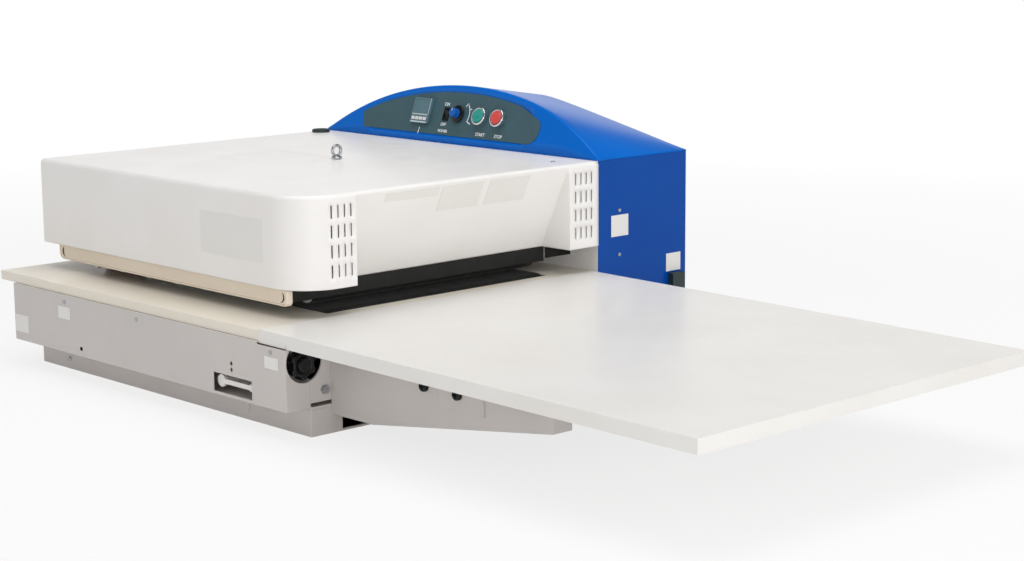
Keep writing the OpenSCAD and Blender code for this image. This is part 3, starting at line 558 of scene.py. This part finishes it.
def makeArchCover(spec):
    # at each x a section runs up the leaning face, over a rounded rim, back to the rear edge and down
    x = np.concatenate([np.linspace(-370, -345, 8)[:-1], np.linspace(-345, 345, 93), np.linspace(345, 370, 8)[1:]])
    up, back = archUp(x), archBack(x)
    sin, cos = math.sin(lean), math.cos(lean)
    face = np.array([sin, cos])
    crest = np.stack([320 + up * sin, 349 + up * cos], -1)
    heel = np.stack([np.full(len(x), float(spec["back"])), 349 + back], -1)
    along = heel - crest
    along /= np.linalg.norm(along, axis=1, keepdims=True)
    size = np.minimum(spec["rim"], 0.35 * up)[:, None]
    rear = np.minimum(3.0, 0.35 * back)[:, None]
    section = []
    for share in (0, 1, 2, 3):  # up the face, past the opening behind the control plate
        height = [np.zeros(len(x)), np.minimum(22, 0.35 * up), np.maximum(up - 22, 0.62 * up),
                  up - size[:, 0] * 1.02][share]
        section.append(np.stack([320 + height * sin, 349 + height * cos], -1))
    for t in np.linspace(0, 1, 7):  # rounded rim: a quadratic curve between the two directions
        a, b = crest - size * face, crest + size * along
        section.append((1 - t) ** 2 * a + 2 * t * (1 - t) * crest + t * t * b)
    for t in np.linspace(0, 1, 12)[1:-1]:
        a, b = crest + size * along, heel - rear * along
        section.append(a + (b - a) * t)
    for t in np.linspace(0, 1, 5):
        a, b = heel - rear * along, heel - rear * [0, 1]
        section.append((1 - t) ** 2 * a + 2 * t * (1 - t) * heel + t * t * b)
    section.append(np.stack([np.full(len(x), float(spec["back"])), np.full(len(x), 349.0)], -1))
    section = np.stack(section)
    grid = np.concatenate([np.broadcast_to(x[None, :, None], section.shape[:2] + (1,)), section], -1)
    skip = np.zeros((len(grid) - 1, len(x) - 1), bool)
    middle = (x[:-1] + x[1:]) / 2
    skip[1] = (middle > spec["opening"][0]) & (middle < spec["opening"][1])
    piece = gridPiece("archCover", grid * mm, "machine", "blue_paint", stands=("arch_cover",), skip=skip, angle=40,
                      flip=False)
    return shell(piece, spec["wall"])


makeArchCover(arch)
print("arch cover made")


# ---- controls on the leaning face ----

controls = {
    "plate": 1.2, "start": (59, 55), "stop": (107, 55), "buttonRadius": 12.45, "ringRadius": 17,
    "knob": (-4, 56), "skirtRadius": 16, "capRadius": 9, "screen": (-102, 56),
}


def faceTurned(name, profile, at, body, slotName, material=None, stands=(), steps=56):
    return gridPiece(name, onFace(turned(profile, steps) + [at[0], at[1], 0]), body, slotName, material, stands,
                     around=True, angle=38)


ringProfile = ([(14.4, -22), (14.4, 1.2), (16.2, 1.2)] + [(17, 1.9), (17, 9.6)]
               + [(17 - 1.6 * (1 - math.cos(a)), 10.4 + 1.7 * math.sin(a)) for a in np.linspace(0, 1.57, 6)]
               + [(13.9, 12.1)] + [(13.9 - 1.25 * math.sin(a), 11.1 + 1.0 * math.cos(a)) for a in
                                   np.linspace(0.3, 1.57, 4)] + [(12.6, 6), (12.6, -22), (14.4, -22)])
capProfile = ([(0, -6), (12.2, -6), (12.45, -5.6), (12.45, 11.9)]
              + [(12.45 - 1.5 * (1 - math.cos(a)), 12.1 + 1.7 * math.sin(a)) for a in np.linspace(0, 1.57, 6)]
              + [(9.5, 13.6), (5, 13.4), (0, 13.3)])
for label, colourSlot, node in (("start", "green_button", "start_button"), ("stop", "red_button", "stop_button")):
    at = controls[label]
    faceTurned(label + "Bezel", ringProfile, at, "machine", "chrome", stands=("button_rings",))
    faceTurned(label + "Cap", capProfile, at, bodyUnder(node), colourSlot, stands=(node,))

skirtProfile = ([(3, -14), (3, 3.6), (15.4, 3.6), (16, 4.0), (16, 5.4)]
                + [(16 - 2.2 * t, 5.4 + 1.3 * t ** 0.6) for t in (0.3, 0.6, 1.0)] + [(8.6, 7.1)])
faceTurned("knobSkirt", skirtProfile + [(8.6, 7.1), (0, 7.1)], controls["knob"], bodyUnder("speed_knob"),
           "black_plastic", knobBlack, ("speed_knob",))
fluted = turned([(8.9, 6.9), (8.9, 8.2)] + [(8.8 - 0.6 * t, 8.4 + 9 * t) for t in np.linspace(0, 1, 6)]
                + [(7.7, 18.4), (6.9, 19.1), (5.5, 19.4), (0, 19.4)], 144)
turnAngle = np.arctan2(fluted[..., 1], fluted[..., 0])
fluteDepth = 0.22 * (1 - np.cos(24 * turnAngle)) * (fluted[..., 2] < 18.2) * (fluted[..., 2] > 8.3)
fluted[..., :2] *= (1 - fluteDepth / 9)[..., None]
gridPiece("knobCap", onFace(fluted + [*controls["knob"], 0]), bodyUnder("speed_knob"), "blue_knob", None,
          ("speed_knob",), around=True, angle=50)


def faceBar(name, low, high, top, body, slotName, material, thick=0.12, stands=()):
    # a thin printed or inlaid bar: a rectangle with drawn-in corners, raised from the face at height top
    (x0, y0), (x1, y1) = low, high
    c = min(x1 - x0, y1 - y0) * 0.2
    outline = np.array([(x0 + c, y0), (x1 - c, y0), (x1, y0 + c), (x1, y1 - c), (x1 - c, y1), (x0 + c, y1),
                        (x0, y1 - c), (x0, y0 + c)])
    levels = [top, top + thick]
    grid = np.stack([np.column_stack([outline, np.full(8, h)]) for h in levels])
    return gridPiece(name, onFace(grid), body, slotName, material, stands, around=True, closeEnds=True)


def joined(name, parts):
    # several small pieces on one body made one
    bpy.ops.object.select_all(action="DESELECT")
    for part in parts:
        part.select_set(True)
    bpy.context.view_layer.objects.active = parts[0]
    bpy.ops.object.join()
    parts[0].name = name
    return parts[0]


# pointer line on the knob
faceBar("knobPointer", (controls["knob"][0] - 0.6, controls["knob"][1] + 2), (controls["knob"][0] + 0.6,
        controls["knob"][1] + 7), 19.4, bodyUnder("speed_knob"), "key_plastic", whiteInk)

for node, name, width in (("temp_controller", "controllerBezel", 0.7), ("rocker_frame", "rockerFrame", 0.5),
                          ("power_rocker", "rockerCap", 0.5), ("key_set", "setKey", 0.35),
                          ("key_shift", "shiftKey", 0.35), ("key_down", "downKey", 0.35),
                          ("key_up", "upKey", 0.35), ("control_plate", "controlPlate", 0.3)):
    soften(node, name, width, material=controllerAbs if node == "temp_controller" else None)


# ---- printing on the control plate ----

printing = {
    "words": (("ON", -40.3, 72.6, 6.4), ("OFF", -38.2, 34.4, 6.0), ("POWER", -36.0, 22.0, 5.4),
              ("START", 65.4, 22.6, 6.2), ("STOP", 112.9, 22.4, 6.2)),
    "dial": {"radius": 29, "start": -25, "stop": 40, "width": 1.5},
}


def faceWord(text, x, y, height):
    curve = bpy.data.curves.new("word" + text, "FONT")
    curve.body = text
    curve.size = height * 1.37 * mm
    curve.align_x = "CENTER"
    curve.align_y = "CENTER"
    curve.extrude = 0.05 * mm
    curve.offset = 0.00012
    curve.resolution_u = 3
    carrier = bpy.data.objects.new("word" + text, curve)
    bpy.context.scene.collection.objects.link(carrier)
    bpy.context.view_layer.update()
    mesh = bpy.data.meshes.new_from_object(carrier.evaluated_get(bpy.context.evaluated_depsgraph_get()))
    bpy.data.objects.remove(carrier)
    flat = np.empty(len(mesh.vertices) * 3)
    mesh.vertices.foreach_get("co", flat)
    flat = flat.reshape(-1, 3) / mm + [x, y, controls["plate"] + 0.06]
    mesh.vertices.foreach_set("co", onFace(flat).ravel())
    mesh.update()
    piece = bpy.data.objects.new("word" + text, mesh)
    return settle(piece, "machine", whiteInk)


for text, x, y, height in printing["words"]:
    faceWord(text, x, y, height)


def faceStrip(name, inner, outer, top, material, slotName="key_plastic"):
    # a printed line: two edges given as point lists, raised a little from the face
    edges = [np.column_stack([p, np.full(len(p), h)]) for p, h in
             ((inner, top), (inner, top + 0.1), (outer, top + 0.1), (outer, top))]
    return gridPiece(name, onFace(np.stack(edges, 1)), "machine", slotName, material, around=True, closeEnds=True)


def makeDial(spec):
    # an arc of a circle about the knob, with a tick at each end and at two thirds
    cx, cy = controls["knob"]
    a = np.radians(np.linspace(spec["start"], spec["stop"], 25))
    ring = np.stack([np.cos(a), np.sin(a)], -1)
    half = spec["width"] / 2
    faceStrip("dialArc", [cx, cy] + ring * (spec["radius"] - half), [cx, cy] + ring * (spec["radius"] + half), 1.2,
              whiteInk)
    for i, (angle, inner, outer) in enumerate(((spec["start"] + 1, 29, 40), (20, 29, 35), (46, 22, 30))):
        t = math.radians(angle)
        axis, side = np.array([math.cos(t), math.sin(t)]), np.array([-math.sin(t), math.cos(t)])
        line = np.array([cx, cy]) + np.outer(np.linspace(inner, outer, 3), axis)
        faceStrip(f"dialTick{i}", line - side * half, line + side * half, 1.2, whiteInk)


makeDial(printing["dial"])
# rule that leads up to the controller's keys
lead = np.array([[-102.2, 13.6], [-101.5, 19], [-100.8, 25]])
faceStrip("leadLine", lead - [0.9, 0], lead + [0.9, 0], 1.2, whiteInk)
# printed surround of the key row, and a light strip of painted highlight along the display's right edge
faceBar("keyRowTop", (-123.5, 47.2), (-80.5, 49.2), 7.2, "machine", "key_plastic", keyPrintAndEdgeHighlight)
faceBar("keyRowFoot", (-123.5, 32.4), (-80.5, 35.2), 7.2, "machine", "key_plastic", keyPrintAndEdgeHighlight)
faceBar("displayEdgeHighlight", (-80.6, 50.0), (-79.4, 79.0), 7.2, "machine", "key_plastic", keyPrintAndEdgeHighlight)
print("controls made")


# ---- sheet metal that keeps the CAD shape, with its edges rolled ----

soften("work_table", "workTable", 0.9, 4, material=workTopRailReflection, rim=2.8)
soften("infeed_table", "infeedTable", 0.9, 4, material=infeedTop, rim=2.8)
# the column's side and rear skins take the deeper blue of painted shade
soften("column_skin_right", "rightSkin", 0.9, 2, material=skinBluePaintedShade)
soften("column_skin_left", "leftSkin", 0.9, 2, material=skinBluePaintedShade)
soften("column_rear_panel", "rearPanel", 0.6, 2, material=skinBluePaintedShade)
sheetWork = (
    ("base_front_cover", "baseCover", 0.9, 2), ("plinth", "plinthBox", 1.2, 2), ("chassis", "chassisBox", 0.8, 2),
    ("infeed_brackets", "infeedBrackets", 0.9, 2), ("table_cross_channel", "crossChannel", 0.9, 2),
    ("column_front_panel", "frontPanel", 0.5, 2),
    ("upper_rails", "upperRails", 0.8, 2), ("tension_lever", "tensionLever", 0.8, 3),
    ("infeed_guard", "infeedGuard", 0.5, 2), ("side_terminal", "sideTerminal", 0.7, 2),
    ("power_inlet", "powerInlet", 0.5, 2), ("labels", "blankLabels", 0.15, 1),
)
for node, name, width, segments in sheetWork:
    soften(node, name, width, segments)


def makeRailTrim():
    # a rolled bead carried round the front rail's lower outline, and near each end a thin near-black curved strip laid
    # on the face: the painted shade of a groove
    turn = np.radians(np.linspace(180, 270, 9))
    left = np.column_stack([-310 + 10.3 * np.cos(turn), 190 + 10.3 * np.sin(turn)])
    turn = np.radians(np.linspace(270, 360, 9))
    right = np.column_stack([319 + 6.3 * np.cos(turn), 186 + 6.3 * np.sin(turn)])
    middle = np.column_stack([np.linspace(-302, 311, 30), np.full(30, 179.7)])
    line = np.vstack([[[-320.3, 202]], left, middle, right, [[325.3, 202]]])
    path = np.column_stack([line[:, 0], np.full(len(line), -310.9), line[:, 1]])
    gridPiece("railBead", tubeAlong(path, 1.7, 12) * mm, "machine", "beige_paint", around=True, closeEnds=True,
              angle=60)
    for name, centre, x, start, stop in (("railGrooveShadowRight", 306, 11.5, 50, -75), ("railGrooveShadowLeft", -301, 11.5,
                                                                                 130, 255)):
        a = np.radians(np.linspace(start, stop, 17))
        arc = np.column_stack([centre + x * np.cos(a), 192 + 9.5 * np.sin(a)])
        wide = 1.35 * np.sin(np.linspace(0.15, np.pi - 0.15, 17))[:, None]
        out = np.column_stack([np.cos(a), np.sin(a)]) * wide
        edges = [np.column_stack([p[:, 0], np.full(17, y), p[:, 1]]) for p, y in
                 ((arc - out, -310.8), (arc - out, -311.15), (arc + out, -311.15), (arc + out, -310.8))]
        gridPiece(name, np.stack(edges, 1) * mm, "machine", "black_plastic", grooveShadowPaint, around=True, closeEnds=True)


makeRailTrim()
print("sheet metal made")


# ---- screws, eye, plug and tracking knob ----

def screwGrid(radius, height, slotSize=0.34, cross=True):
    # a pan head: a domed disc with a cross pressed into it; the cross is a fall in height near both axes
    r = radius * np.concatenate([[1, 1, 0.98, 0.93, 0.84], np.linspace(0.76, 0.0, 14)])
    z = height * np.concatenate([[0, 0.45, 0.68, 0.86, 0.95], 1.0 - 0.12 * np.linspace(0.76, 0, 14) ** 2 * 0])
    grid = turned(np.column_stack([r, z]), 40)
    if cross:
        x, y = grid[..., 0], grid[..., 1]
        narrow, reach = radius * 0.15, radius * 0.6
        one = (1 - step(np.abs(x), narrow, narrow * 1.6)) * (1 - step(np.abs(y), reach, reach * 1.15))
        two = (1 - step(np.abs(y), narrow, narrow * 1.6)) * (1 - step(np.abs(x), reach, reach * 1.15))
        grid[..., 2] -= 0.55 * height * np.maximum(one, two)
    return grid


screwPlaces = (
    [("-y", (x, -396, 131), 3.2, 1.8) for x in (-175, 40, 394)] + [("-y", (-239, -351, 18), 3.8, 3)]
    + [("x", (370, 371, z), 3.2, 1.8) for z in (183, 260)] + [("-x", (-370, 371, z), 3.2, 1.8) for z in (183, 260)]
    + [("z", (322, 259, 349), 4, 1.8)] + [("y", (x, 541, z), 3.2, 1.8) for x in (-340, 340) for z in (60, 330)]
)
for i, (axis, place, radius, height) in enumerate(screwPlaces):
    gridPiece(f"panScrew{i}", across(screwGrid(radius, height), axis, place), "machine", nodeSlots["cover_screws"],
              finishes["steel"], ("cover_screws",), around=True, angle=60)


def hexGrid(radius, height):
    # a hexagon bolt head: the radius follows the six flats, and the top edge is chamfered
    ring = np.array([(1, 0), (1, 0.82), (0.93, 1), (0.6, 1), (0, 1)])
    grid = turned(ring * [radius, height], 48)
    a = np.arctan2(grid[..., 1], grid[..., 0])
    flat = np.cos(np.pi / 6) / np.cos((a % (np.pi / 3)) - np.pi / 6)
    grid[..., :2] *= flat[..., None]
    return grid


# lock tongue that hangs over the plinth: a strip with a round lower end
turn = np.radians(np.linspace(180, 360, 13))
tongue = np.vstack([[[269, 38]], np.column_stack([273 + 4 * np.cos(turn), 16 + 4 * np.sin(turn)]), [[277, 38]]])
gridPiece("lockTongue", np.stack([np.column_stack([tongue[:, 0], np.full(len(tongue), y), tongue[:, 1]])
                                  for y in (-351, -352.6)]) * mm, "machine", nodeSlots["cover_screws"],
          finishes["grey_paint"], ("cover_screws",), around=True, closeEnds=True)
gridPiece("wallBolt", across(hexGrid(7.5, 5), "x", (430, -325, 70)), "machine", nodeSlots["cover_screws"],
          finishes["steel"], ("cover_screws",), around=True, angle=30)
for i, (x, drop) in enumerate(((645, 0), (719, -3))):
    gridPiece(f"bracketScrew{i}", across(screwGrid(8, 6.5), "-y", (x, -312.6 + drop, 108)), "machine",
              nodeSlots["bracket_screws"], finishes[nodeSlots["bracket_screws"]], ("bracket_screws",), around=True,
              angle=60)


def makeTopFittings():
    # lifting eye: a collar turned about its axis and a ring of round wire in the YZ plane
    collar = [(0, 0), (9, 0), (9, 2.4), (8.4, 3.2), (6.5, 3.5), (4.4, 3.9), (3.6, 5.2), (0, 5.4)]
    gridPiece("eyeCollar", across(turned(collar), "z", (9, 43, 349)), "machine", "steel", None, ("top_fittings",),
              around=True)
    a = np.linspace(0, 2 * np.pi, 49)
    ring = np.stack([np.zeros(49), 9 * np.cos(a), 13 + 9 * np.sin(a)], -1)
    gridPiece("eyeRing", (tubeAlong(ring, 2.6) + [9, 43, 349]) * mm, "machine", "steel", None, ("top_fittings",),
              around=True, angle=70)
    plug = [(0, 0), (17, 0), (17, 3.4), (16.4, 5.0), (14.6, 5.9), (10, 6), (9.2, 5.2), (0, 5.2)]
    gridPiece("servicePlug", across(turned(plug), "z", (-345, 287, 349)), "machine", "black_plastic",
              finishes["dark_plastic"], ("top_fittings",), around=True)


makeTopFittings()


def makeTrackingKnob():
    # six lobes: the radius is the farthest reach of a hub and six circles on it, softened at both rims
    a = np.linspace(0, 2 * np.pi, 168, endpoint=False)
    hub = np.full(a.shape, 19.2)
    off = (a - np.pi / 6 + np.pi / 6) % (np.pi / 3) - np.pi / 6
    reach = 18 * np.cos(off) + np.sqrt(np.maximum(36 - (18 * np.sin(off)) ** 2, 0)) * (np.abs(18 * np.sin(off)) < 6)
    edge = np.maximum(hub, np.where(np.abs(18 * np.sin(off)) < 6, reach, 0))
    profile = [(0.0, 0), (0.9, 0), (0.97, 0.6), (1, 1.8), (1, 17.5), (0.985, 18.9), (0.95, 19.7), (0.88, 20),
               (0.62, 20), (0.56, 18.6), (0.5, 18.2), (0.46, 21.6), (0.42, 22.8), (0.3, 23), (0, 23)]
    share = np.array([p[0] for p in profile])[:, None]
    level = np.array([p[1] for p in profile])[:, None]
    blend = np.where(share > 0.62, 1.0, 0.0)
    radius = share * (edge[None] * blend + 24 * (1 - blend))
    grid = np.stack([radius * np.cos(a)[None], radius * np.sin(a)[None], np.broadcast_to(level, radius.shape)], -1)
    gridPiece("lobedKnob", across(grid, "x", (410, -361, 112)), bodyUnder("tracking_knob"), "black_plastic",
              knobBlack, ("tracking_knob",), around=True, angle=45)
    shaft = [(0, 0), (5, 0), (5, 64), (12, 64), (12, 72), (0, 72)]
    gridPiece("knobShaft", across(turned(shaft, 32), "x", (340, -361, 112)), bodyUnder("tracking_knob"), "steel",
              None, ("tracking_knob",), around=True)


makeTrackingKnob()
print("small parts made")


# ---- CAD nodes that keep their shape ----

for name, piece in nodes.items():
    if piece.hide_render:
        continue
    finish = finishes[nodeSlots[name]]
    if not piece.material_slots:
        piece.data.materials.append(finish)
    for place in piece.material_slots:
        place.material = finish


# ---- floor, light and background ----

studio = {"floor": "#EDEDED", "sky": 0.5, "overhead": 0.1, "nearLift": 0.78, "far": 3.0}  # far is metres from the object


def makeFloor(spec):
    # a wide flat sheet: a plain grid at z = 0
    x = np.linspace(-30, 30, 13)
    y = np.linspace(-30, 30, 13)
    grid = np.stack(np.meshgrid(x, y) + [np.zeros((13, 13))], -1)
    mesh = bpy.data.meshes.new("studioFloor")
    index = np.arange(169).reshape(13, 13)
    quads = np.stack([index[:-1, :-1], index[:-1, 1:], index[1:, 1:], index[1:, :-1]], -1).reshape(-1, 4)
    mesh.from_pydata(grid.reshape(-1, 3).tolist(), [], quads.tolist())
    floor = bpy.data.objects.new("studioFloor", mesh)
    bpy.context.scene.collection.objects.link(floor)
    made, tree, shader, place = startFinish("whitePaperFloor", spec["floor"], 0.8)
    relief(tree, shader, noise(tree, place, 2, 2), 0.02)
    path = add(tree, "ShaderNodeLightPath")
    seen = add(tree, "ShaderNodeMath", {"operation": "MAXIMUM"},
               {0: path.outputs["Is Camera Ray"], 1: path.outputs["Is Glossy Ray"]}).outputs[0]
    away = add(tree, "ShaderNodeVectorMath", {"operation": "LENGTH"}, {0: place}).outputs["Value"]
    white = add(tree, "ShaderNodeMapRange", {"From Min": 1.2, "From Max": spec["far"], "To Min": spec["nearLift"],
                                             "To Max": 1.0}, {"Value": away}).outputs[0]
    lift = add(tree, "ShaderNodeMath", {"operation": "MULTIPLY"}, {0: seen, 1: white}).outputs[0]
    glow = add(tree, "ShaderNodeEmission", {"Strength": 1.0})
    both = add(tree, "ShaderNodeMixShader", {}, {0: lift, 1: shader.outputs[0], 2: glow.outputs[0]})
    tree.links.new(both.outputs[0], tree.nodes["Material Output"].inputs["Surface"])
    mesh.materials.append(made)


makeFloor(studio)

world = bpy.data.worlds.new("studioWorld")
world.use_nodes = True
bpy.context.scene.world = world
tree = world.node_tree
path = add(tree, "ShaderNodeLightPath")
seen = add(tree, "ShaderNodeMath", {"operation": "MAXIMUM"},
           {0: path.outputs["Is Camera Ray"], 1: path.outputs["Is Glossy Ray"]}).outputs[0]
rise = add(tree, "ShaderNodeSeparateXYZ", {}, {0: add(tree, "ShaderNodeTexCoord").outputs["Generated"]}).outputs[2]
# reflections find a bright room low down and a darker one overhead
room = add(tree, "ShaderNodeMapRange", {"From Min": 0.22, "From Max": 0.38, "To Min": 1.0,
                                        "To Max": studio["overhead"]}, {"Value": rise}).outputs[0]
shown = add(tree, "ShaderNodeMath", {"operation": "MAXIMUM"},
            {0: path.outputs["Is Camera Ray"], 1: room}).outputs[0]
level = add(tree, "ShaderNodeMix", {"data_type": "FLOAT", 2: studio["sky"]}, {0: seen, 3: shown}).outputs[0]
tree.links.new(level, tree.nodes["Background"].inputs["Strength"])
tree.nodes["Background"].inputs["Color"].default_value = (1, 1, 1, 1)

lamps = {
    "topSoftbox": {"place": (0.5, -0.2, 3.2), "aim": (0.3, 0, 0.2), "size": 2.6, "power": 53},
    "infeedSoftbox": {"place": (3.4, 0.4, 1.5), "aim": (0.2, 0, 0.25), "size": 1.8, "power": 18},
    "lowFill": {"place": (3.3, -2.0, 0.35), "aim": (0.4, -0.2, 0.12), "size": 1.6, "power": 32},
}
for name, lamp in lamps.items():
    data = bpy.data.lights.new(name, "AREA")
    data.shape = "SQUARE"
    data.size = lamp["size"]
    data.energy = lamp["power"]
    light = bpy.data.objects.new(name, data)
    aim = Vector(lamp["aim"]) - Vector(lamp["place"])
    light.matrix_world = Matrix.Translation(lamp["place"]) @ aim.to_track_quat("-Z", "Y").to_matrix().to_4x4()
    bpy.context.scene.collection.objects.link(light)
print("studio set")
